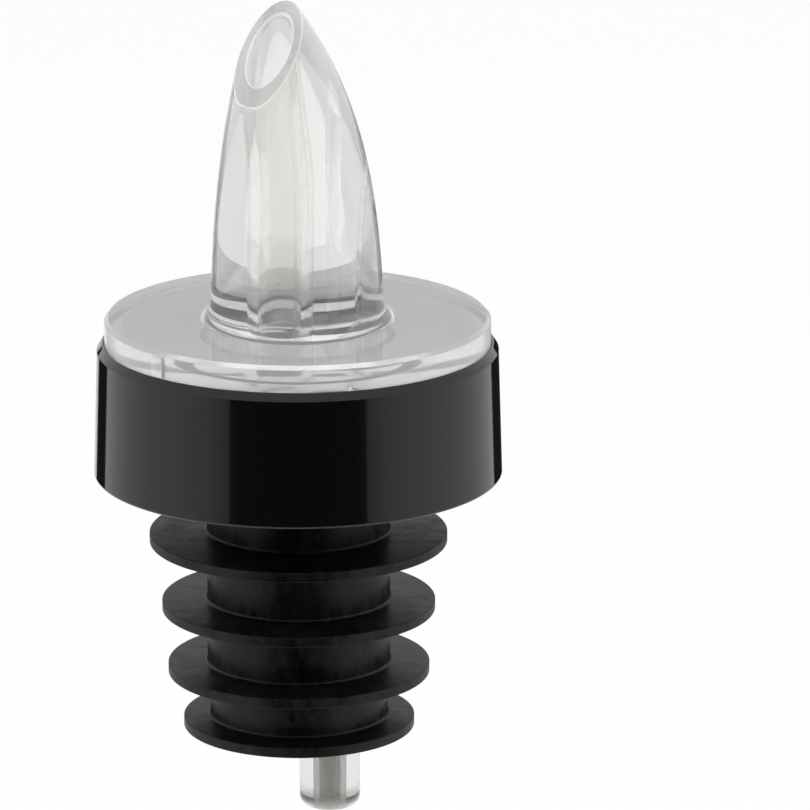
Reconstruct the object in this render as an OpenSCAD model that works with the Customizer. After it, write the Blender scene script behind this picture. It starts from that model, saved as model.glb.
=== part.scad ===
// Liquor pourer for a bottle: a clear beak with its flange and stem, a collar, a finned cork and a vent tube.
// Millimetres, +Z up. The origin is on the axis at the collar's underside, which rests on the bottle's mouth.
// The beak pours towards -Y.

/* [Beak] */
// Height of the beak's tip above the flange
beak_h = 25.3; // [21:0.1:32]
// Diameter of the beak where it stands on the flange
beak_d = 13.6; // [13:0.1:15]
// How far the front wall has come in at the tip's height
front_draw = 2.8; // [2:0.1:3.5]
// Straight part of how far the rear wall has come in at the tip's height
rear_taper = 1.5; // [1:0.05:2]
// Curved part of how far the rear wall has come in at the tip's height
rear_sweep = 6.1; // [5.4:0.1:6.8]
// Angle between the mouth's plane and the flange
mouth_angle = 59; // [54:0.5:63]
// Radius of the fillet round the beak's foot
foot_fillet = 0.9; // [0.3:0.05:1.2]
// Width of the step between the beak's foot and the fillet
foot_step = 0.08; // [0.06:0.02:0.3]

/* [Passages] */
// Diameter of the pouring bore at the mouth
pour_d = 3.8; // [3.4:0.1:3.9]
// Diameter of the pouring bore's upright part
pour_root_d = 3.7; // [3.4:0.1:3.8]
// How far the pouring bore's upright part stands in front of the axis
pour_root_offset = 1.4; // [1.4:0.05:1.8]
// Height of the pouring bore's bend above the flange
pour_bend_h = 12; // [10:0.5:14]
// Step in the pouring bore's wall at the bend
pour_step = 0.1; // [0.08:0.01:0.15]
// How far the bore's opening stands above the middle of the mouth, along the mouth's slope
pour_raise = 0.3; // [0:0.05:0.5]
// Diameter of the vent's bore in the beak
vent_d = 1.2; // [1:0.1:1.6]
// How far the vent's bore in the beak stands behind the tube's axis
vent_back = 0.6; // [0:0.1:0.8]

/* [Flange and stem] */
// Diameter of the flange
flange_d = 30.2; // [28:0.1:34]
// Thickness of the flange
flange_t = 3; // [2.6:0.1:4]
// How far the flange stands proud of the collar
flange_proud = 2.05; // [1:0.05:2.4]
// Bevel round the flange's top edge
flange_bevel = 0.3; // [0.1:0.05:0.6]
// Width of the gate mark on the flange's front
gate_w = 1.2; // [0.8:0.1:2]
// How far the gate mark stands out
gate_proud = 0.25; // [0.1:0.05:0.5]
// Diameter of the stem
stem_d = 12.6; // [12.3:0.1:14]
// Wall of the hollow stem
stem_wall = 1; // [0.8:0.05:1.2]
// How far the stem stops short of the cork's lower end
stem_short = 3; // [1:0.25:5]
// Chamfer on the stem's lower end
stem_chamfer = 0.3; // [0.1:0.05:0.3]

/* [Collar] */
// Height of the collar
collar_h = 10.65; // [9:0.05:14]
// Wall of the collar round the flange
rim_wall = 0.55; // [0.5:0.05:1.5]
// How much wider the collar is at its foot, on each side
collar_draft = 0.3; // [0:0.05:0.8]
// Height of the chamfer round the collar's upper edge
chamfer_h = 0.6; // [0.2:0.05:1]
// Width of the chamfer round the collar's upper edge
chamfer_w = 0.4; // [0.1:0.05:0.45]
// Rounding of the collar's lower edge
collar_foot_round = 0.25; // [0.1:0.05:0.6]
// Thickness of the collar's floor
floor_t = 1.8; // [1.2:0.1:3]
// Width of the ledge that carries the flange
ledge_w = 1.4; // [0.8:0.1:3]
// How deep the cork's top sits in the collar's underside
seat_depth = 0.6; // [0.3:0.1:0.9]

/* [Cork] */
// Wall of the cork round the stem
cork_wall = 0.86; // [0.7:0.02:2]
// How much thinner the cork is between its two lowest fins
tail_step = 0.2; // [0:0.05:0.3]
// Thickness of a fin at its rim
fin_t = 0.8; // [0.6:0.05:1.3]
// How much thicker a fin is where it leaves the core, on each side
fin_root = 0.15; // [0:0.05:0.3]
// Diameter of the first fin, under the collar
fin_1_d = 23.4; // [19:0.1:27]
// Diameter of the second fin
fin_2_d = 21.5; // [19:0.1:27]
// Diameter of the third fin
fin_3_d = 20.6; // [18:0.1:26]
// Diameter of the fourth fin, at the cork's end
fin_4_d = 18.2; // [17:0.1:24]
// Depth of the first fin's top below the collar
fin_1_drop = 4.75; // [3:0.05:6]
// Step from the first fin to the second
fin_2_step = 5.55; // [3:0.05:7]
// Step from the second fin to the third
fin_3_step = 5.15; // [3:0.05:7]
// Step from the third fin to the fourth
fin_4_step = 4.4; // [3:0.1:7]

/* [Vent tube] */
// Outer diameter of the tube
tube_d = 4.8; // [4:0.1:5]
// Diameter of the tube's bore
tube_bore_d = 1.7; // [1.2:0.1:2]
// How far the tube hangs below the cork
tube_proud = 7.6; // [3:0.1:14]
// How deep the tube sits in the stem
socket_depth = 8.5; // [5:0.5:11]
// Wall between the tube's socket and the outside of the stem
socket_wall = 0.45; // [0.4:0.05:0.6]
// Wall of the boss that holds the tube inside the stem
boss_wall = 0.5; // [0.4:0.05:0.7]
// Rounding of the tube's lower end
tube_round = 0.9; // [0.3:0.1:1.2]

/* [Fits] */
// Radial clearance of the stem in the collar and the cork
stem_clear = 0.04; // [0.02:0.01:0.1]
// Radial clearance of the flange in the collar
flange_clear = 0.05; // [0.02:0.01:0.1]
// Radial clearance of the tube in its socket
tube_clear = 0.03; // [0.02:0.01:0.1]
// Radial clearance of the cork's top in the collar's underside
seat_clear = 0.05; // [0.02:0.01:0.1]

/* [Hidden] */
$fn = 96;

// Facets of the beak round its girth and along its height, and steps in a rounded edge
beak_columns = 48;
beak_rings = 24;
round_steps = 5;
// How far a cutting solid runs past the face that it cuts
over = 1;

clear_plastic = [0.86, 0.88, 0.88, 0.4];
gloss_black = [0.03, 0.03, 0.03];
satin_black = [0.07, 0.07, 0.07];

// Levels along the axis
flange_top = collar_h + flange_proud;
flange_seat = flange_top - flange_t;
fin_d = [fin_1_d, fin_2_d, fin_3_d, fin_4_d];
fin_2_drop = fin_1_drop + fin_2_step;
fin_3_drop = fin_2_drop + fin_3_step;
fin_4_drop = fin_3_drop + fin_4_step;
fin_drop = [fin_1_drop, fin_2_drop, fin_3_drop, fin_4_drop];
cork_end = -(fin_4_drop + fin_t);
stem_end = cork_end + stem_short;
socket_end = stem_end + socket_depth;
tube_end = cork_end - tube_proud;

// Radii
beak_r = beak_d / 2;
stem_r = stem_d / 2;
stem_bore_r = stem_r - stem_wall;
stem_hole_r = stem_r + stem_clear;
flange_r = flange_d / 2;
pocket_r = flange_r + flange_clear;
collar_top_r = pocket_r + rim_wall;
collar_foot_r = collar_top_r + collar_draft;
ledge_r = pocket_r - ledge_w;
core_r = stem_hole_r + cork_wall;
seat_r = core_r + seat_clear;
tail_r = core_r - tail_step;
tube_r = tube_d / 2;
tube_bore_r = tube_bore_d / 2;
vent_r = vent_d / 2;
socket_r = tube_r + tube_clear;
boss_r = socket_r + boss_wall;

// The tube stands behind the axis, and the vent's bore in the beak a little further back
tube_offset = stem_r - socket_wall - socket_r;
vent_offset = tube_offset + vent_back;

// The beak's walls at t, the share of its height: how far each stands from the axis
function front_wall(t) = beak_r - front_draw * t * t;
function rear_wall(t) = beak_r - rear_taper * t - rear_sweep * t * t * t;

// The mouth's plane passes through the tip and meets the front wall at the lip
mouth_run = beak_h / tan(mouth_angle);
tip_offset = -rear_wall(1);
lip_root = mouth_run * mouth_run - 4 * front_draw * (tip_offset + mouth_run - beak_r);
lip_t = (mouth_run - sqrt(lip_root)) / (2 * front_draw);
mouth_offset = (tip_offset + front_wall(lip_t)) / 2;
mouth_z = flange_top + beak_h * (1 + lip_t) / 2;

// The pouring bore stands upright over the stem's bore, then leans forward to its opening in the mouth
pour_root_r = pour_root_d / 2;
pour_bend_z = flange_top + pour_bend_h;
opening_offset = mouth_offset - pour_raise * cos(mouth_angle);
opening_z = mouth_z + pour_raise * sin(mouth_angle);
pour_rise = opening_z - pour_bend_z;
pour_lean = atan2(opening_offset - pour_root_offset, pour_rise);
pour_length = pour_rise / cos(pour_lean);
knee_r = pour_root_r - pour_step;
knee_under = 1.1 * knee_r * tan(pour_lean);
pour_slope = (pour_d / 2 - knee_r) / pour_length;
pour_over = beak_h / 4;

// Points of an arc about a centre, from one angle to another
function arc(centre, r, from, to) = [
  for (i = [0 : round_steps])
    let (a = from + (to - from) * i / round_steps)
      centre + r * [cos(a), sin(a)]
];

// One ring of the beak: a circle that touches the front and the rear wall
function beak_ring(t) =
  let (mid = (front_wall(t) - rear_wall(t)) / 2, r = (front_wall(t) + rear_wall(t)) / 2)
    [
      for (i = [0 : beak_columns - 1])
        let (a = 360 * i / beak_columns)
          [r * sin(a), -mid - r * cos(a), flange_top + beak_h * t]
    ];

// The beak before its mouth is cut: rings from inside the flange to just past the tip
module beak_blank() {
  first_t = -0.05;
  last_t = 1.05;
  points = [
    for (k = [0 : beak_rings]) each beak_ring(first_t + (last_t - first_t) * k / beak_rings)
  ];
  foot = [for (i = [0 : beak_columns - 1]) i];
  head = [for (i = [0 : beak_columns - 1]) beak_columns * (beak_rings + 1) - 1 - i];
  sides = [
    for (k = [0 : beak_rings - 1], i = [0 : beak_columns - 1])
      let (
        a = k * beak_columns + i,
        b = k * beak_columns + (i + 1) % beak_columns,
        c = b + beak_columns,
        d = a + beak_columns
      )
        each [[a, d, c], [a, c, b]]
  ];
  polyhedron(points, concat([foot], [head], sides));
}

// All that lies above the mouth's plane
module above_mouth() {
  size = 2 * beak_h;
  translate([0, -tip_offset, flange_top + beak_h])
    rotate([mouth_angle, 0, 0])
      translate([-size / 2, -size, 0])
        cube([size, 2 * size, size]);
}

module beak() {
  difference() {
    beak_blank();
    above_mouth();
  }
}

// Flange, stem and the fillet that carries the beak, turned about the axis
module flange_and_stem() {
  fillet_r = beak_r + foot_step + foot_fillet;
  fillet = arc([fillet_r, flange_top + foot_fillet], foot_fillet, 270, 180);
  outline = concat(
    [
      [0, stem_end],
      [stem_r - stem_chamfer, stem_end],
      [stem_r, stem_end + stem_chamfer],
      [stem_r, flange_seat],
      [flange_r, flange_seat],
      [flange_r, flange_top - flange_bevel],
      [flange_r - flange_bevel, flange_top]
    ],
    fillet,
    [[0, flange_top + foot_fillet]]
  );
  rotate_extrude() polygon(outline);
}

// Mark left by the moulding gate, on the flange's rim under the lip
module gate_mark() {
  height = flange_proud - 2 * flange_bevel;
  translate([-gate_w / 2, -flange_r - gate_proud, collar_h])
    cube([gate_w, gate_proud + over, height]);
}

// Hollow of the stem, in front of the boss that holds the tube
module stem_bore() {
  difference() {
    translate([0, 0, stem_end - over])
      cylinder(h = flange_seat - stem_end + over, r = stem_bore_r);
    translate([0, tube_offset, stem_end - 2 * over])
      cylinder(h = flange_seat - stem_end + 4 * over, r = boss_r);
  }
}

// Passage for the liquid: an upright part, and a leaning part that starts within it
module pour_bore() {
  translate([0, -pour_root_offset, flange_seat - over / 2])
    cylinder(h = over / 2 + flange_t + pour_bend_h, r = pour_root_r);
  translate([0, -pour_root_offset, pour_bend_z])
    rotate([pour_lean, 0, 0])
      translate([0, 0, -knee_under])
        cylinder(
          h = knee_under + pour_length + pour_over,
          r1 = knee_r - pour_slope * knee_under,
          r2 = pour_d / 2 + pour_slope * pour_over
        );
}

module vent_bore() {
  translate([0, vent_offset, socket_end - over])
    cylinder(h = flange_top + beak_h - socket_end + over, r = vent_r);
}

module tube_socket() {
  translate([0, tube_offset, stem_end - over])
    cylinder(h = socket_depth + over, r = socket_r);
}

module spout() {
  color(clear_plastic)
    difference() {
      union() {
        beak();
        flange_and_stem();
        gate_mark();
      }
      stem_bore();
      pour_bore();
      vent_bore();
      tube_socket();
    }
}

// Cup with a floor on the bottle's mouth, a seat for the cork's top and a ledge under the flange
module collar() {
  lower_edge = arc([collar_foot_r - collar_foot_round, collar_foot_round], collar_foot_round, 270, 360);
  outline = concat(
    [[stem_hole_r, seat_depth], [seat_r, seat_depth], [seat_r, 0]],
    lower_edge,
    [
      [collar_top_r, collar_h - chamfer_h],
      [collar_top_r - chamfer_w, collar_h],
      [pocket_r, collar_h],
      [pocket_r, flange_seat],
      [ledge_r, flange_seat],
      [ledge_r, floor_t],
      [stem_hole_r, floor_t]
    ]
  );
  color(gloss_black) rotate_extrude() polygon(outline);
}

// Radius of the core above fin number i
function core_above(i) = i == len(fin_d) - 1 ? tail_r : core_r;

// Outline of fin number i, from its upper root to its rim and back to its lower root
function fin_outline(i) = [
  [core_above(i), -fin_drop[i] + fin_root],
  [fin_d[i] / 2, -fin_drop[i]],
  [fin_d[i] / 2, -fin_drop[i] - fin_t],
  each i == len(fin_d) - 1 ? [] : [[core_above(i + 1), -fin_drop[i] - fin_t - fin_root]]
];

module cork() {
  outline = concat(
    [[stem_hole_r, seat_depth], [core_r, seat_depth]],
    [for (i = [0 : len(fin_d) - 1]) each fin_outline(i)],
    [[stem_hole_r, cork_end]]
  );
  color(satin_black) rotate_extrude() polygon(outline);
}

// Thick tube whose lower end is rounded, with its upper end against the socket's end
module vent_tube() {
  lower_edge = arc([tube_r - tube_round, tube_end + tube_round], tube_round, 270, 360);
  outline = concat(
    [[tube_bore_r, tube_end]],
    lower_edge,
    [[tube_r, socket_end], [tube_bore_r, socket_end]]
  );
  color(clear_plastic)
    translate([0, tube_offset, 0])
      rotate_extrude() polygon(outline);
}

spout();
collar();
cork();
vent_tube();
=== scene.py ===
"""Liquor pourer: a clear beak with flange and stem, a black collar, a finned cork and a clear vent tube.

Metres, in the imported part's frame: +Z up along the axis, the beak pours towards -Y.
"""
import math

import bmesh
import bpy
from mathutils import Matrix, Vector


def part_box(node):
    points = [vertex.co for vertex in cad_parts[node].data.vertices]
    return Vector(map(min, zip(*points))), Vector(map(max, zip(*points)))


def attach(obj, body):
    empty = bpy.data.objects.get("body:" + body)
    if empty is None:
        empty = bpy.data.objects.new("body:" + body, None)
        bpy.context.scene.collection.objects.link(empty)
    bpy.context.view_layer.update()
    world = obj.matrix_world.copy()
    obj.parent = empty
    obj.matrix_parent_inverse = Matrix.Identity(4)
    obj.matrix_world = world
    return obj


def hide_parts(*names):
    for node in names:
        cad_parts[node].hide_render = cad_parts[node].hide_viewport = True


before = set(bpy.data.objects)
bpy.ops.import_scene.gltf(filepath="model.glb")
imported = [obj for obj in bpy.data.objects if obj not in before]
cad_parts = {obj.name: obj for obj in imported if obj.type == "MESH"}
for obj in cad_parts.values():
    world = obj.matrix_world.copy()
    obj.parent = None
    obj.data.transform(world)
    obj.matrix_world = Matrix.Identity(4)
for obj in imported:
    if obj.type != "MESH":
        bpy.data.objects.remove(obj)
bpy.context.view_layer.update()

MM = 0.001

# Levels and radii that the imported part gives
spout_low, spout_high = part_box("spout")
_, collar_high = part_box("collar")
cork_low, cork_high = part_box("cork")
tube_low, tube_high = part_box("vent_tube")
STEM_END = spout_low.z
TIP_Z = spout_high.z
FLANGE_R = spout_high.x
COLLAR_H = collar_high.z
COLLAR_FOOT_R = collar_high.x
CORK_END = cork_low.z
FIN_1_R = cork_high.x
TUBE_END = tube_low.z
SOCKET_END = tube_high.z
TUBE_R = (tube_high.x - tube_low.x) / 2
TUBE_Y = (tube_high.y + tube_low.y) / 2

# Beak
BEAK_H = 25.3 * MM
BEAK_R = 6.8 * MM
FRONT_DRAW = 2.8 * MM
REAR_TAPER = 1.5 * MM
REAR_SWEEP = 6.1 * MM
MOUTH_ANGLE = 59
MOUTH_SLOPE = math.tan(math.radians(MOUTH_ANGLE))
MOUTH_EDGE = 0.14 * MM
BORE_EDGE = 0.45 * MM
LIP_FLAT = 0.12 * MM
LIP_FLAT_SLOPE = 0.32
FOOT_FILLET = 0.9 * MM
FOOT_STEP = 0.08 * MM

# Passages in the spout
POUR_R = 1.9 * MM
POUR_ROOT_R = 1.85 * MM
POUR_ROOT_Y = -1.4 * MM
POUR_BEND_H = 12.0 * MM
POUR_BEND_RUN = 2.5 * MM
POUR_RAISE = 0.3 * MM
POUR_UNDER = 3.5 * MM
VENT_R = 0.6 * MM
VENT_BACK = 0.6 * MM
VENT_Y = TUBE_Y + VENT_BACK
TUBE_CLEAR = 0.03 * MM
SOCKET_R = TUBE_R + TUBE_CLEAR
BOSS_WALL = 0.5 * MM
BOSS_R = SOCKET_R + BOSS_WALL
CUT_OVER = 1.0 * MM

# Flange and stem
FLANGE_TOP = TIP_Z - BEAK_H
FLANGE_T = 3.0 * MM
FLANGE_SEAT = FLANGE_TOP - FLANGE_T
FLANGE_BEVEL = 0.3 * MM
GATE_W = 1.2 * MM
GATE_PROUD = 0.25 * MM
GATE_FLARE = 1.15
GATE_DROP = 1.2 * FLANGE_BEVEL
STEM_R = 6.3 * MM
STEM_WALL = 1.0 * MM
STEM_BORE_R = STEM_R - STEM_WALL
STEM_CHAMFER = 0.3 * MM
EDGE = 0.08 * MM

# Collar
FLANGE_CLEAR = 0.05 * MM
POCKET_R = FLANGE_R + FLANGE_CLEAR
RIM_WALL = 0.55 * MM
COLLAR_TOP_R = POCKET_R + RIM_WALL
COLLAR_CHAMFER_H = 0.6 * MM
COLLAR_CHAMFER_W = 0.4 * MM
COLLAR_FOOT_ROUND = 0.25 * MM
FLOOR_T = 1.8 * MM
LEDGE_W = 1.4 * MM
LEDGE_R = POCKET_R - LEDGE_W
SEAT_PLAY = 0.03 * MM
LEDGE_Z = FLANGE_SEAT - SEAT_PLAY
STEM_CLEAR = 0.04 * MM
STEM_HOLE_R = STEM_R + STEM_CLEAR
CORK_TOP = cork_high.z
SEAT_Z = CORK_TOP + SEAT_PLAY

# Cork
CORK_WALL = 0.86 * MM
CORE_R = STEM_HOLE_R + CORK_WALL
SEAT_CLEAR = 0.05 * MM
SEAT_R = CORE_R + SEAT_CLEAR
TAIL_STEP = 0.2 * MM
TAIL_R = CORE_R - TAIL_STEP
FIN_T = 0.8 * MM
FIN_ROOT = 0.15 * MM
FIN_R = [FIN_1_R, 10.75 * MM, 10.3 * MM, 9.1 * MM]
FIN_Z = [-4.75 * MM, -10.3 * MM, -15.45 * MM, CORK_END + FIN_T]
FIN_EDGE = 0.07 * MM
ROOT_FILLET = 0.25 * MM

# Vent tube
TUBE_BORE_R = 0.85 * MM
TUBE_ROUND = 0.9 * MM

# Fineness of the meshes
COLUMNS = 192
BORE_COLUMNS = 128
BEAK_ROWS = 96
BORE_ROWS = 48
ROUND_STEPS = 6
# Rings on the mouth's face, as shares of the way to its middle
FACE_RINGS = (0.02, 0.35, 0.7)
# A stretch longer than this gets a point near each end, this far in
STRAIGHT = 0.4 * MM
HOLD = 0.03 * MM
# Edges that turn by more than this stay sharp
SHARP = math.radians(18)

# Clear plastic
PLASTIC_IOR = 1.5
# Share of the light that passes unbent at the beak's foot and at its mouth
STRAIGHT_FOOT = 0.15
STRAIGHT_MOUTH = 0.55
# Share of the light that the surface scatters; at the lip it is painted highlight, at the rim and the gate
# partly painted highlight
BEAK_HAZE = 0.05
LIP_HIGHLIGHT = 0.5
FACE_HAZE = 0.35
DISC_HAZE = 0.15
RIM_HAZE_AND_HIGHLIGHT = 0.38
GATE_HAZE_AND_HIGHLIGHT = 0.45
# Depth under the mouth's plane, in millimetres, over which its face ends and then its edge, with the edge's
# painted highlight
FACE_DEPTH = (0.01, 0.02)
EDGE_DEPTH = (0.1, 0.15)
# Height above the flange, in millimetres, at which the beak's own look starts, and over which it sets in
RISE_START = 0.5
RISE_RUN = 0.5

# Camera, worked out from the photograph's ellipses
IMAGE_SIDE = 810
FOCAL_PX = 7650
SENSOR = 36.0
CAMERA_AZIMUTH = math.radians(45)
CAMERA_REACH = 576.2 * MM
CAMERA_Z = 167.4 * MM
AIM_Z = 5.4 * MM
AXIS_PX = 298

# Studio
FLOOR_Z = TUBE_END - 32 * MM
FLOOR_FRONT = 0.10
FLOOR_BACK = 2.5
FLOOR_SIDE = 2.0
AMBIENT = 0.55
FLOOR_GLOW = 0.88
# Front wall: half its sweep and its steps in degrees, its distance, its lower and upper edge
WALL_SWEEP = 75
WALL_STEP = 3
WALL_DISTANCE = 0.7
WALL_LOW, WALL_HIGH = -0.6, 0.3
# Its light at azimuths from the camera's side, in degrees
WALL_LIGHT = [(0, 0.0), (32, 0.01), (38, 0.06), (39, 0.5), (50, 0.8), (66, 1.0)]
# Dark cards: start and end azimuth from the camera's side in degrees, distance, lower and upper edge
DARK_CARDS = {
    "card_left": (-156, -136, 0.2, FLOOR_Z, 0.01),
    "card_right": (141, 170, 0.2, FLOOR_Z, 0.01),
}
# Soft boxes at both sides: azimuth from the camera's side in degrees, distance, height, size, power in watts
SIDE_BOX = (80, 0.6, 0.25, (0.5, 0.6), 1.6)
# Soft box above: place, size, power in watts
TOP_BOX = (Vector((0, 0.1, 0.7)), (0.6, 0.6), 2.0)


def arc_points(start, corner, end, radius):
    """Points of a rounded corner in a flat outline of (radius, height) points."""
    p = Vector(corner)
    u = (Vector(start) - p).normalized()
    v = (Vector(end) - p).normalized()
    half = u.angle(v) / 2
    centre = p + (u + v).normalized() * radius / math.sin(half)
    tangent = radius / math.tan(half)
    first = p + u * tangent - centre
    last = p + v * tangent - centre
    sweep = math.atan2(first.x * last.y - first.y * last.x, first.dot(last))
    turn = math.atan2(first.y, first.x)
    turns = [turn + sweep * i / ROUND_STEPS for i in range(ROUND_STEPS + 1)]
    return [centre + radius * Vector((math.cos(a), math.sin(a))) for a in turns]


def rounded(corners, closed=True):
    """Outline from (radius, height) or (radius, height, rounding) corners."""
    points = []
    count = len(corners)
    for i, corner in enumerate(corners):
        inner = closed or 0 < i < count - 1
        if len(corner) == 3 and inner:
            points += arc_points(corners[i - 1][:2], corner[:2], corners[(i + 1) % count][:2], corner[2])
        else:
            points.append(Vector(corner[:2]))
    return held(points, closed)


def held(points, closed):
    """The outline with a point close to each end of its straight stretches, which keeps flat faces flat."""
    result = [] if closed else [points[0]]
    for i in range(0 if closed else 1, len(points)):
        run = points[i] - points[i - 1]
        if run.length > STRAIGHT:
            hold = run.normalized() * HOLD
            result += [points[i - 1] + hold, points[i] - hold]
        result.append(points[i])
    return result


def circle(radius, height, columns=COLUMNS, y=0.0):
    """A level ring of points. The first stands at the front, towards -Y."""
    turns = [2 * math.pi / columns * i for i in range(columns)]
    return [Vector((radius * math.sin(a), y - radius * math.cos(a), height)) for a in turns]


def skin(name, rings, closed=False):
    """A closed mesh over rings of points: joined end to end, or with a cap on each end."""
    made = bmesh.new()
    loops = [[made.verts.new(p) for p in ring] for ring in rings]
    columns = len(rings[0])
    pairs = list(zip(loops, loops[1:]))
    if closed:
        pairs.append((loops[-1], loops[0]))
    else:
        made.faces.new(loops[0])
        made.faces.new(loops[-1])
    for low, high in pairs:
        for i in range(columns):
            j = (i + 1) % columns
            made.faces.new((low[i], low[j], high[j], high[i]))
    bmesh.ops.recalc_face_normals(made, faces=made.faces)
    mesh = bpy.data.meshes.new(name)
    made.to_mesh(mesh)
    made.free()
    piece = bpy.data.objects.new(name, mesh)
    bpy.context.scene.collection.objects.link(piece)
    return piece


def lathe(name, outline, y=0.0, columns=COLUMNS):
    """A ring-shaped solid turned from a closed outline."""
    return skin(name, [circle(p.x, p.y, columns, y) for p in outline], closed=True)


def combine(piece, other, operation):
    """Adds other to the piece or cuts it away, and removes other."""
    step = piece.modifiers.new("combine", "BOOLEAN")
    step.operation = operation
    step.object = other
    step.solver = "EXACT"
    graph = bpy.context.evaluated_depsgraph_get()
    result = bpy.data.meshes.new_from_object(piece.evaluated_get(graph))
    piece.modifiers.clear()
    piece.data = result
    result.name = piece.name
    bpy.data.objects.remove(other)


def smooth(piece):
    """Smooth shading, apart from sharp edges."""
    piece.data.shade_smooth()
    piece.data.set_sharp_from_angle(angle=SHARP)


def front_wall(t):
    """How far the beak's front stands from the axis at a share t of its height."""
    return BEAK_R - FRONT_DRAW * t * t


def rear_wall(t):
    """How far the beak's back stands from the axis at a share t of its height."""
    return BEAK_R - REAR_TAPER * t - REAR_SWEEP * t ** 3


TIP = Vector((0, rear_wall(1), TIP_Z))
MOUTH_NORMAL = Vector((0, -MOUTH_SLOPE, 1)).normalized()


def beak_point(turn, t):
    """A point of the beak's outside at a turn from the front and a share t of its height."""
    middle = (front_wall(t) - rear_wall(t)) / 2
    radius = (front_wall(t) + rear_wall(t)) / 2
    return Vector((radius * math.sin(turn), -middle - radius * math.cos(turn), FLANGE_TOP + BEAK_H * t))


def above_mouth(point):
    return (point - TIP).dot(MOUTH_NORMAL)


def mouth_share(turn):
    """Share of the beak's height at which a column meets the mouth's plane."""
    low, high = 0.0, 1.05
    for _ in range(50):
        middle = (low + high) / 2
        if above_mouth(beak_point(turn, middle)) < 0:
            low = middle
        else:
            high = middle
    return low


LIP = beak_point(0, mouth_share(0))
MOUTH_MIDDLE = (TIP + LIP) / 2
OPENING = MOUTH_MIDDLE + (TIP - LIP).normalized() * POUR_RAISE
POUR_FOOT = Vector((0, POUR_ROOT_Y, FLANGE_TOP - POUR_UNDER))
POUR_BEND = Vector((0, POUR_ROOT_Y, FLANGE_TOP + POUR_BEND_H))


def flattened(point):
    """The point held behind the small flat under the lip."""
    limit = LIP.y + LIP_FLAT - LIP_FLAT_SLOPE * max(0.0, LIP.z - point.z)
    return Vector((point.x, max(point.y, limit), point.z))


def bend(start, corner, end, share):
    """Point of a soft corner between two edges."""
    return start * (1 - share) ** 2 + corner * 2 * share * (1 - share) + end * share ** 2


def beak_rings():
    """Rings from the beak's foot to the middle of its mouth."""
    turns = [2 * math.pi * i / COLUMNS for i in range(COLUMNS)]
    foot = FOOT_FILLET / BEAK_H
    tops = [mouth_share(turn) for turn in turns]
    rings = []
    ends = [top - MOUTH_EDGE / BEAK_H for top in tops]
    for k in range(BEAK_ROWS + 1):
        share = k / BEAK_ROWS
        rings.append([flattened(beak_point(a, foot + (e - foot) * share)) for a, e in zip(turns, ends)])
    corners = [flattened(beak_point(a, top)) for a, top in zip(turns, tops)]
    corners = [p - MOUTH_NORMAL * above_mouth(p) for p in corners]
    insets = [p + (MOUTH_MIDDLE - p).normalized() * MOUTH_EDGE for p in corners]
    for k in range(1, ROUND_STEPS + 1):
        rings.append([bend(s, c, e, k / ROUND_STEPS) for s, c, e in zip(rings[BEAK_ROWS], corners, insets)])
    for share in FACE_RINGS:
        rings.append([p.lerp(MOUTH_MIDDLE, share) for p in insets])
    return rings


def pour_cutter():
    """The pouring passage: upright, then bent towards the mouth, where its edge is softened."""
    upright = Vector((0, 0, 1))
    axis = (OPENING - POUR_BEND).normalized()
    across = (upright + axis).normalized()
    turns = [2 * math.pi * i / BORE_COLUMNS for i in range(BORE_COLUMNS)]
    spokes = [Vector((math.sin(a), -math.cos(a), 0)) for a in turns]
    feet = [POUR_FOOT + q * POUR_ROOT_R for q in spokes]
    knees = [p + upright * (POUR_BEND - p).dot(across) / upright.dot(across) for p in feet]
    runs = [axis + q * (POUR_R - POUR_ROOT_R) / (OPENING - POUR_BEND).length for q in spokes]
    reaches = [(TIP - p).dot(MOUTH_NORMAL) / v.dot(MOUTH_NORMAL) for p, v in zip(knees, runs)]
    edges = [p + v * h for p, v, h in zip(knees, runs, reaches)]
    starts = [e - v.normalized() * BORE_EDGE for e, v in zip(edges, runs)]
    outward = [(e - OPENING).normalized() for e in edges]
    ends = [e + o * BORE_EDGE for e, o in zip(edges, outward)]
    below = [k - upright * POUR_BEND_RUN for k in knees]
    above = [k + v * POUR_BEND_RUN for k, v in zip(knees, runs)]
    rings = [[p.lerp(b, k / BORE_ROWS) for p, b in zip(feet, below)] for k in range(BORE_ROWS)]
    for i in range(BORE_ROWS):
        rings.append([bend(b, k, a, i / BORE_ROWS) for b, k, a in zip(below, knees, above)])
    rings += [[a.lerp(s, k / BORE_ROWS) for a, s in zip(above, starts)] for k in range(BORE_ROWS + 1)]
    last = 0.75
    for k in range(1, ROUND_STEPS):
        share = last * k / (ROUND_STEPS - 1)
        rings.append([bend(s, e, w, share) for s, e, w in zip(starts, edges, ends)])
    before, after = rings[-2], rings[-1]
    past = [b + (b - a).normalized() * BORE_EDGE for a, b in zip(before, after)]
    rings.append(past)
    rings.append([p + MOUTH_NORMAL * 4 * CUT_OVER for p in past])
    return skin("pour_cutter", rings)


def round_cutter(radius, y, low, high):
    return skin("round_cutter", [circle(radius, z, BORE_COLUMNS, y) for z in (low, high)])


def gate_mark():
    """Small block left by the moulding gate on the flange's rim, with soft edges."""
    made = bmesh.new()
    bmesh.ops.create_cube(made, size=1)
    depth = GATE_PROUD + CUT_OVER
    low = COLLAR_H + EDGE
    high = FLANGE_TOP - GATE_DROP
    for v in made.verts:
        v.co.x *= GATE_W * (1 if v.co.y < 0 else GATE_FLARE)
        v.co.y = -FLANGE_R - GATE_PROUD + depth * (v.co.y + 0.5)
        v.co.z = low + (high - low) * (v.co.z + 0.5)
    bmesh.ops.bevel(made, geom=made.edges[:], offset=EDGE, segments=3, affect="EDGES", profile=0.5)
    mesh = bpy.data.meshes.new("gate_mark")
    made.to_mesh(mesh)
    made.free()
    piece = bpy.data.objects.new("gate_mark", mesh)
    bpy.context.scene.collection.objects.link(piece)
    return piece


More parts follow.
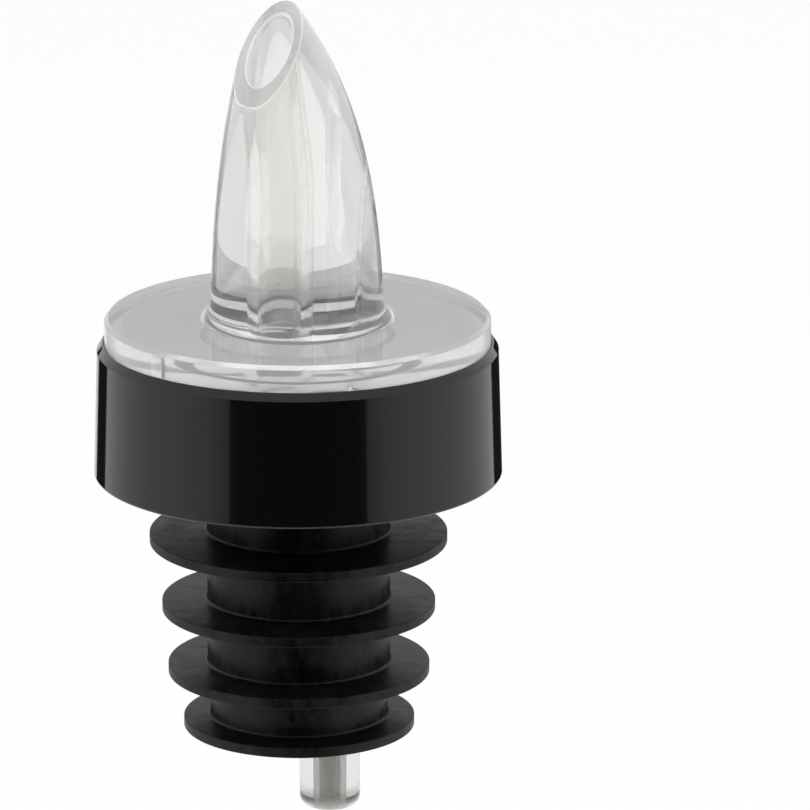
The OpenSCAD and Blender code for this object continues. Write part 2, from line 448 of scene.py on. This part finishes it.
def make_spout():
    """Stem, flange, fillet and beak as one skin, then its passages."""
    fillet_r = BEAK_R + FOOT_STEP
    turned = rounded([
        (STEM_R - STEM_CHAMFER, STEM_END),
        (STEM_R, STEM_END + STEM_CHAMFER),
        (STEM_R, FLANGE_SEAT, EDGE),
        (FLANGE_R, FLANGE_SEAT, EDGE),
        (FLANGE_R, FLANGE_TOP - FLANGE_BEVEL, EDGE),
        (FLANGE_R - FLANGE_BEVEL, FLANGE_TOP, EDGE),
        (fillet_r, FLANGE_TOP, FOOT_FILLET),
        (fillet_r, FLANGE_TOP + 1.2 * FOOT_FILLET),
    ], closed=False)
    rings = [circle(p.x, p.y) for p in turned[:-1]] + beak_rings()
    piece = skin("spout_clear", rings)
    combine(piece, gate_mark(), "UNION")
    hollow = round_cutter(STEM_BORE_R, 0, STEM_END - CUT_OVER, FLANGE_SEAT)
    boss = round_cutter(BOSS_R, TUBE_Y, STEM_END - 2 * CUT_OVER, FLANGE_SEAT + CUT_OVER)
    combine(hollow, boss, "DIFFERENCE")
    combine(piece, hollow, "DIFFERENCE")
    combine(piece, pour_cutter(), "DIFFERENCE")
    combine(piece, round_cutter(VENT_R, VENT_Y, SOCKET_END - CUT_OVER, TIP_Z), "DIFFERENCE")
    combine(piece, round_cutter(SOCKET_R, TUBE_Y, STEM_END - CUT_OVER, SOCKET_END), "DIFFERENCE")
    return piece


def make_collar():
    """Cup with a chamfered rim, a ledge under the flange and a floor."""
    return lathe("collar_shell", rounded([
        (STEM_HOLE_R, SEAT_Z, EDGE),
        (SEAT_R, SEAT_Z, EDGE),
        (SEAT_R, 0, EDGE),
        (COLLAR_FOOT_R, 0, COLLAR_FOOT_ROUND),
        (COLLAR_TOP_R, COLLAR_H - COLLAR_CHAMFER_H, EDGE),
        (COLLAR_TOP_R - COLLAR_CHAMFER_W, COLLAR_H, EDGE),
        (POCKET_R, COLLAR_H, 0.5 * EDGE),
        (POCKET_R, LEDGE_Z, EDGE),
        (LEDGE_R, LEDGE_Z, EDGE),
        (LEDGE_R, FLOOR_T, EDGE),
        (STEM_HOLE_R, FLOOR_T, EDGE),
    ]))


def make_cork():
    """Sleeve with four fins, each a little thicker at its root."""
    corners = [(STEM_HOLE_R, CORK_TOP, EDGE), (CORE_R, CORK_TOP, EDGE)]
    for i, (r, z) in enumerate(zip(FIN_R, FIN_Z)):
        above = TAIL_R if i == len(FIN_R) - 1 else CORE_R
        corners.append((above, z + FIN_ROOT, ROOT_FILLET))
        corners.append((r, z, FIN_EDGE))
        corners.append((r, z - FIN_T, FIN_EDGE))
        if i < len(FIN_R) - 1:
            below = TAIL_R if i == len(FIN_R) - 2 else CORE_R
            corners.append((below, z - FIN_T - FIN_ROOT, ROOT_FILLET))
    corners.append((STEM_HOLE_R, CORK_END, EDGE))
    return lathe("cork_sleeve", rounded(corners))


def make_tube():
    """Thick tube with a rounded lower end."""
    return lathe("vent_tube_clear", rounded([
        (TUBE_BORE_R, TUBE_END, EDGE),
        (TUBE_R, TUBE_END, TUBE_ROUND),
        (TUBE_R, SOCKET_END, EDGE),
        (TUBE_BORE_R, SOCKET_END, EDGE),
    ]), TUBE_Y, BORE_COLUMNS)


class Nodes:
    """Short calls for building a node tree."""

    def __init__(self, tree):
        self.tree = tree
        tree.nodes.clear()

    def add(self, kind, inputs=None, **settings):
        node = self.tree.nodes.new(kind)
        for name, value in settings.items():
            setattr(node, name, value)
        for name, value in (inputs or {}).items():
            if isinstance(value, bpy.types.NodeSocket):
                self.tree.links.new(value, node.inputs[name])
            else:
                node.inputs[name].default_value = value
        return node

    def math(self, operation, a, b=0.0):
        return self.add("ShaderNodeMath", {0: a, 1: b}, operation=operation).outputs[0]

    def ramp(self, value, low, high):
        """Maps 0 to 1 on to low to high."""
        return self.add("ShaderNodeMapRange", {"Value": value, "To Min": low, "To Max": high}).outputs[0]

    def between(self, value, start, end, low, high):
        """low where the value is at start or before, high at end or past it."""
        inputs = {"Value": value, "From Min": start, "From Max": end, "To Min": low, "To Max": high}
        return self.add("ShaderNodeMapRange", inputs).outputs[0]

    def reach(self, x, y):
        """Distance from the axis of a place in millimetres."""
        return self.math("SQRT", self.math("ADD", self.math("MULTIPLY", x, x), self.math("MULTIPLY", y, y)))

    def vector(self, operation, a, b):
        return self.add("ShaderNodeVectorMath", {0: a, 1: b}, operation=operation).outputs

    def stretch(self, vector, scale):
        return self.vector("MULTIPLY", vector, scale)[0]

    def place(self):
        """The surface's place in millimetres."""
        spot = self.add("ShaderNodeTexCoord").outputs["Object"]
        return self.stretch(spot, (1 / MM, 1 / MM, 1 / MM))

    def noise(self, vector, scale, detail=3.0, roughness=0.55):
        inputs = {"Vector": vector, "Scale": scale, "Detail": detail, "Roughness": roughness}
        return self.add("ShaderNodeTexNoise", inputs).outputs["Fac"]

    def bump(self, height, strength, distance, normal=None):
        inputs = {"Height": height, "Strength": strength, "Distance": distance}
        if normal is not None:
            inputs["Normal"] = normal
        return self.add("ShaderNodeBump", inputs).outputs["Normal"]

    def finish(self, shader):
        self.add("ShaderNodeOutputMaterial", {"Surface": shader})


def new_material(name):
    material = bpy.data.materials.new(name)
    material.use_nodes = True
    return material, Nodes(material.node_tree)


def clear_plastic():
    """Polished clear moulding: faint flow waves along the axis and a trace of milky scatter, more of it on
    the rim; on the mouth's edge, and partly on the flange's rim and gate mark, the milky white is a painted
    highlight.
    """
    material, n = new_material("clear_plastic")
    place = n.place()
    x, y, z = n.add("ShaderNodeSeparateXYZ", {0: place}).outputs
    flow = n.noise(n.stretch(place, (1, 1, 0.15)), 0.9)
    cloud = n.noise(place, 2.5, 5)
    glass = n.add("ShaderNodeBsdfPrincipled", {
        "Base Color": (0.945, 0.95, 0.932, 1),
        "Roughness": n.ramp(cloud, 0.0, 0.025),
        "IOR": PLASTIC_IOR,
        "Transmission Weight": 1.0,
        "Normal": n.bump(flow, 0.06, 0.05 * MM),
    }).outputs[0]
    foot = FLANGE_TOP / MM + RISE_START
    risen = n.between(z, foot, foot + RISE_RUN, 0.0, 1.0)
    share = n.math("MULTIPLY", risen, n.between(z, foot, LIP.z / MM, STRAIGHT_FOOT, STRAIGHT_MOUTH))
    outside = n.math("SUBTRACT", 1.0, n.add("ShaderNodeNewGeometry").outputs["Backfacing"])
    mirrored = n.add("ShaderNodeFresnel", {"IOR": PLASTIC_IOR}).outputs[0]
    grazing = n.between(mirrored, 0.1, 0.4, 0.0, 1.0)
    share = n.math("MULTIPLY", share, n.math("SUBTRACT", 1.0, n.math("MULTIPLY", outside, grazing)))
    straight = n.add("ShaderNodeBsdfTransparent", {"Color": (0.94, 0.945, 0.93, 1)}).outputs[0]
    body = n.add("ShaderNodeMixShader", {0: share, 1: glass, 2: straight}).outputs[0]
    out = n.reach(x, y)
    bevel = (FLANGE_R - FLANGE_BEVEL) / MM
    # Flange's rim and bevel, and the gate mark: more milky white, partly scatter of the moulding and partly
    # painted highlight.
    flange = n.between(out, bevel - 0.05, bevel, DISC_HAZE, RIM_HAZE_AND_HIGHLIGHT)
    gate = n.between(out, FLANGE_R / MM + 0.02, FLANGE_R / MM + 0.04, 0.0, GATE_HAZE_AND_HIGHLIGHT)
    rim = n.math("MAXIMUM", flange, gate)
    from_tip = n.vector("SUBTRACT", place, TIP / MM)[0]
    depth = n.vector("DOT_PRODUCT", from_tip, -MOUTH_NORMAL)["Value"]
    face = n.math("MULTIPLY", outside, n.between(depth, *FACE_DEPTH, FACE_HAZE, 0.0))
    under = n.between(depth, *FACE_DEPTH, 0.0, 1.0)
    # Painted highlight: milky white on the mouth's rounded edge, a bright line along it.
    edge = n.math("MULTIPLY", under, n.between(depth, *EDGE_DEPTH, LIP_HIGHLIGHT, BEAK_HAZE))
    # Milky share: faint scatter over the beak and disc, with the painted highlights on the mouth's edge, the
    # flange's rim and the gate mark.
    haze_and_highlight = n.add("ShaderNodeMix", {0: risen, 2: rim, 3: n.math("MAXIMUM", edge, BEAK_HAZE)}).outputs[0]
    milky = n.add("ShaderNodeBsdfDiffuse", {"Color": (0.95, 0.95, 0.95, 1)}).outputs[0]
    frost = n.add("ShaderNodeBsdfDiffuse", {"Color": (0.4, 0.4, 0.4, 1)}).outputs[0]
    body = n.add("ShaderNodeMixShader", {0: face, 1: body, 2: frost}).outputs[0]
    n.finish(n.add("ShaderNodeMixShader", {0: haze_and_highlight, 1: body, 2: milky}).outputs[0])
    return material


def tube_plastic():
    """Extruded clear tube, a little grey, with painted shade on its bore: a dark grey diffuse share there."""
    material, n = new_material("tube_plastic")
    place = n.place()
    x, y, z = n.add("ShaderNodeSeparateXYZ", {0: place}).outputs
    draw = n.noise(n.stretch(place, (2, 2, 0.1)), 1.5, 4)
    glass = n.add("ShaderNodeBsdfPrincipled", {
        "Base Color": (0.93, 0.935, 0.92, 1),
        "Roughness": n.ramp(draw, 0.02, 0.12),
        "IOR": PLASTIC_IOR,
        "Transmission Weight": 1.0,
        "Normal": n.bump(draw, 0.1, 0.05 * MM),
    }).outputs[0]
    diffuse_layer = n.add("ShaderNodeBsdfDiffuse", {"Color": (0.19, 0.195, 0.17, 1)}).outputs[0]
    off_axis = n.reach(x, n.math("SUBTRACT", y, TUBE_Y / MM))
    bore = TUBE_BORE_R / MM
    # Share of the dark grey diffuse: a little over the tube for its own grey, much more on the bore as
    # painted shade.
    share = n.between(off_axis, bore + 0.05, bore + 0.1, 0.55, 0.07)
    inside = n.add("ShaderNodeMixShader", {0: share, 1: glass, 2: diffuse_layer}).outputs[0]
    milky = n.add("ShaderNodeBsdfDiffuse", {"Color": (0.75, 0.76, 0.73, 1)}).outputs[0]
    end = TUBE_END / MM
    cut = n.between(z, end + 0.5, end + 1.1, n.ramp(draw, 0.3, 0.7), 0.03)
    n.finish(n.add("ShaderNodeMixShader", {0: cut, 1: inside, 2: milky}).outputs[0])
    return material


def gloss_black():
    """Black gloss plastic with a fine uneven polish and hairline scratches."""
    material, n = new_material("gloss_black")
    place = n.place()
    polish = n.noise(place, 1.2, 6)
    hairs = n.noise(n.stretch(place, (6, 6, 0.4)), 3.0, 2)
    shader = n.add("ShaderNodeBsdfPrincipled", {
        "Base Color": (0.004, 0.004, 0.0042, 1),
        "Roughness": n.ramp(polish, 0.04, 0.1),
        "IOR": 1.45,
        "Normal": n.bump(hairs, 0.02, 0.02 * MM, n.bump(polish, 0.03, 0.05 * MM)),
    })
    n.finish(shader.outputs[0])
    return material


def satin_black():
    """Soft black plastic: flow marks that run outwards on the fins, smudges, a fine grain and dust."""
    material, n = new_material("satin_black")
    place = n.place()
    x, y, z = n.add("ShaderNodeSeparateXYZ", {0: place}).outputs
    turn = n.math("MULTIPLY", n.math("ARCTAN2", y, x), 9.0)
    polar = n.add("ShaderNodeCombineXYZ", {0: turn, 1: n.reach(x, y), 2: z}).outputs[0]
    streaks = n.noise(n.stretch(polar, (1.0, 0.35, 0.6)), 1.1, 6, 0.7)
    smudges = n.noise(n.stretch(place, (1, 1, 0.5)), 0.55, 6, 0.7)
    marks = n.math("MULTIPLY", n.math("ADD", streaks, smudges), 0.5)
    grain = n.noise(place, 9.0, 3)
    tone = n.add("ShaderNodeValToRGB", {"Fac": marks})
    tone.color_ramp.elements[0].position = 0.38
    tone.color_ramp.elements[0].color = (0.0015, 0.0015, 0.0013, 1)
    tone.color_ramp.elements[1].position = 0.66
    tone.color_ramp.elements[1].color = (0.009, 0.0088, 0.0075, 1)
    specks = n.add("ShaderNodeTexVoronoi", {"Vector": place, "Scale": 0.6}).outputs["Distance"]
    dust = n.between(specks, 0.03, 0.05, 0.5, 0.0)
    tones = {0: dust, 6: tone.outputs["Color"], 7: (0.12, 0.12, 0.115, 1)}
    colour = n.add("ShaderNodeMix", tones, data_type="RGBA").outputs[2]
    shader = n.add("ShaderNodeBsdfPrincipled", {
        "Base Color": colour,
        "Roughness": n.between(marks, 0.35, 0.65, 0.2, 0.5),
        "IOR": 1.5,
        "Normal": n.bump(grain, 0.12, 0.03 * MM, n.bump(marks, 0.3, 0.12 * MM)),
    })
    diffuse_layer = n.add("ShaderNodeBsdfDiffuse", {"Color": colour}).outputs[0]
    bloom = n.between(marks, 0.35, 0.65, 0.62, 0.38)
    n.finish(n.add("ShaderNodeMixShader", {0: bloom, 1: shader.outputs[0], 2: diffuse_layer}).outputs[0])
    return material


def seen_share(n):
    """1 for rays from the camera, a gloss or a clear surface, and 0 for the rays that light the object."""
    rays = n.add("ShaderNodeLightPath").outputs
    either = n.math("MAXIMUM", rays["Is Camera Ray"], rays["Is Glossy Ray"])
    return n.math("MAXIMUM", either, rays["Is Transmission Ray"])


def make_world():
    world = bpy.data.worlds.new("studio")
    world.use_nodes = True
    bpy.context.scene.world = world
    n = Nodes(world.node_tree)
    dim = n.add("ShaderNodeBackground", {"Color": (1, 1, 1, 1), "Strength": AMBIENT}).outputs[0]
    white = n.add("ShaderNodeBackground", {"Color": (1, 1, 1, 1), "Strength": 1.0}).outputs[0]
    mixed = n.add("ShaderNodeMixShader", {0: seen_share(n), 1: dim, 2: white}).outputs[0]
    n.add("ShaderNodeOutputWorld", {"Surface": mixed})


def flat_piece(name, corners, material):
    """A flat stage piece."""
    mesh = bpy.data.meshes.new(name)
    mesh.from_pydata(corners, [], [list(range(len(corners)))])
    mesh.materials.append(material)
    piece = bpy.data.objects.new(name, mesh)
    bpy.context.scene.collection.objects.link(piece)
    return piece


TO_CAMERA = Vector((math.sin(CAMERA_AZIMUTH), -math.cos(CAMERA_AZIMUTH), 0))
TO_RIGHT = Vector((math.cos(CAMERA_AZIMUTH), math.sin(CAMERA_AZIMUTH), 0))


def stage_point(right, towards, z):
    """A point given in the camera's own directions over the ground."""
    return TO_RIGHT * right + TO_CAMERA * towards + Vector((0, 0, z))


def around(degrees, distance, z):
    """A point at an azimuth from the camera's side of the object, to the right where positive."""
    angle = math.radians(degrees)
    return stage_point(math.sin(angle) * distance, math.cos(angle) * distance, z)


def make_floor():
    """Pale floor that shows as white and keeps the object's shadow."""
    material, n = new_material("floor_white")
    paper = n.noise(n.place(), 0.2, 4)
    pale = n.add("ShaderNodeValToRGB", {"Fac": paper})
    pale.color_ramp.elements[0].color = (0.88, 0.88, 0.88, 1)
    pale.color_ramp.elements[1].color = (0.92, 0.92, 0.92, 1)
    matte = n.add("ShaderNodeBsdfDiffuse", {"Color": pale.outputs["Color"]}).outputs[0]
    glow = n.add("ShaderNodeEmission", {"Color": (1, 1, 1, 1), "Strength": 1.0}).outputs[0]
    share = n.math("MULTIPLY", seen_share(n), FLOOR_GLOW)
    n.finish(n.add("ShaderNodeMixShader", {0: share, 1: matte, 2: glow}).outputs[0])
    near, far = FLOOR_FRONT, -FLOOR_BACK
    corners = [(-FLOOR_SIDE, near), (FLOOR_SIDE, near), (FLOOR_SIDE, far), (-FLOOR_SIDE, far)]
    flat_piece("floor", [stage_point(x, y, FLOOR_Z) for x, y in corners], material)


def hide_card(card):
    """Leaves a card to be seen in gloss alone."""
    card.visible_camera = False
    card.visible_diffuse = False
    card.visible_shadow = False
    card.visible_transmission = False


def make_front_wall():
    """A round wall before the object: dark in the middle, with wings that grow lighter."""
    material, n = new_material("front_wall")
    spot = n.add("ShaderNodeTexCoord").outputs["Object"]
    x, y, _ = n.add("ShaderNodeSeparateXYZ", {0: spot}).outputs
    turn = n.math("DIVIDE", n.math("ABSOLUTE", n.math("ARCTAN2", x, y)), math.radians(WALL_SWEEP))
    ramp = n.add("ShaderNodeValToRGB", {"Fac": turn})
    stops = ramp.color_ramp.elements
    for degrees, _ in WALL_LIGHT[2:]:
        stops.new(degrees / WALL_SWEEP)
    for stop, (degrees, light) in zip(stops, WALL_LIGHT):
        stop.position = degrees / WALL_SWEEP
        stop.color = (light, light, light, 1)
    glow = n.add("ShaderNodeEmission", {"Color": ramp.outputs["Color"], "Strength": 1.0})
    n.finish(glow.outputs[0])
    made = bmesh.new()
    sides = []
    for degrees in range(-WALL_SWEEP, WALL_SWEEP + 1, WALL_STEP):
        angle = math.radians(degrees)
        x, y = WALL_DISTANCE * math.sin(angle), WALL_DISTANCE * math.cos(angle)
        sides.append([made.verts.new((x, y, z)) for z in (WALL_LOW, WALL_HIGH)])
    for near, far in zip(sides, sides[1:]):
        made.faces.new((near[0], far[0], far[1], near[1]))
    mesh = bpy.data.meshes.new("front_wall")
    made.to_mesh(mesh)
    made.free()
    mesh.materials.append(material)
    wall = bpy.data.objects.new("front_wall", mesh)
    wall.rotation_euler.z = math.pi + CAMERA_AZIMUTH
    bpy.context.scene.collection.objects.link(wall)
    hide_card(wall)


def make_cards():
    """Dark cards behind the object on both sides."""
    material, n = new_material("card_black")
    fibre = n.noise(n.place(), 0.5, 3)
    shader = n.add("ShaderNodeBsdfPrincipled", {
        "Base Color": (0.004, 0.004, 0.004, 1),
        "Roughness": n.ramp(fibre, 0.9, 1.0),
    })
    n.finish(shader.outputs[0])
    for name, (start, end, distance, low, high) in DARK_CARDS.items():
        corners = [around(start, distance, low), around(end, distance, low)]
        corners += [around(end, distance, high), around(start, distance, high)]
        hide_card(flat_piece(name, corners, material))


def make_lamp(name, place, size, watts):
    """A soft box that faces the object."""
    light = bpy.data.lights.new(name, "AREA")
    light.shape = "RECTANGLE"
    light.size, light.size_y = size
    light.energy = watts
    lamp = bpy.data.objects.new(name, light)
    lamp.location = place
    lamp.rotation_mode = "QUATERNION"
    lamp.rotation_quaternion = (-place).to_track_quat("-Z", "Y")
    lamp.visible_glossy = False
    lamp.visible_transmission = False
    bpy.context.scene.collection.objects.link(lamp)


def make_camera():
    """A camera on the photograph's view: the object's axis stands left of the middle."""
    camera = bpy.data.cameras.new("camera")
    camera.sensor_width = SENSOR
    camera.lens = FOCAL_PX / IMAGE_SIDE * SENSOR
    camera.clip_start, camera.clip_end = 0.01, 20
    place = TO_CAMERA * CAMERA_REACH + Vector((0, 0, CAMERA_Z))
    straight = Vector((0, 0, AIM_Z))
    aside = (IMAGE_SIDE / 2 - AXIS_PX) / FOCAL_PX * (place - straight).length
    piece = bpy.data.objects.new("camera", camera)
    piece.location = place
    piece.rotation_mode = "QUATERNION"
    piece.rotation_quaternion = (straight + TO_RIGHT * aside - place).to_track_quat("-Z", "Y")
    bpy.context.scene.collection.objects.link(piece)
    bpy.context.scene.camera = piece


PIECES = [
    (make_spout(), "spout", clear_plastic(), "clear_plastic"),
    (make_collar(), "collar", gloss_black(), "collar_black"),
    (make_cork(), "cork", satin_black(), "cork_black"),
    (make_tube(), "vent_tube", tube_plastic(), "clear_plastic"),
]
for piece, node, material, slot in PIECES:
    smooth(piece)
    piece.data.materials.clear()
    piece.data.materials.append(material)
    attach(piece, node)
    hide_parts(node)

make_world()
make_floor()
make_front_wall()
make_cards()
azimuth, distance, height, size, watts = SIDE_BOX
make_lamp("soft_box_left", around(-azimuth, distance, height), size, watts)
make_lamp("soft_box_right", around(azimuth, distance, height), size, watts)
make_lamp("soft_box_top", *TOP_BOX)
make_camera()
bpy.context.scene.view_settings.view_transform = "Standard"
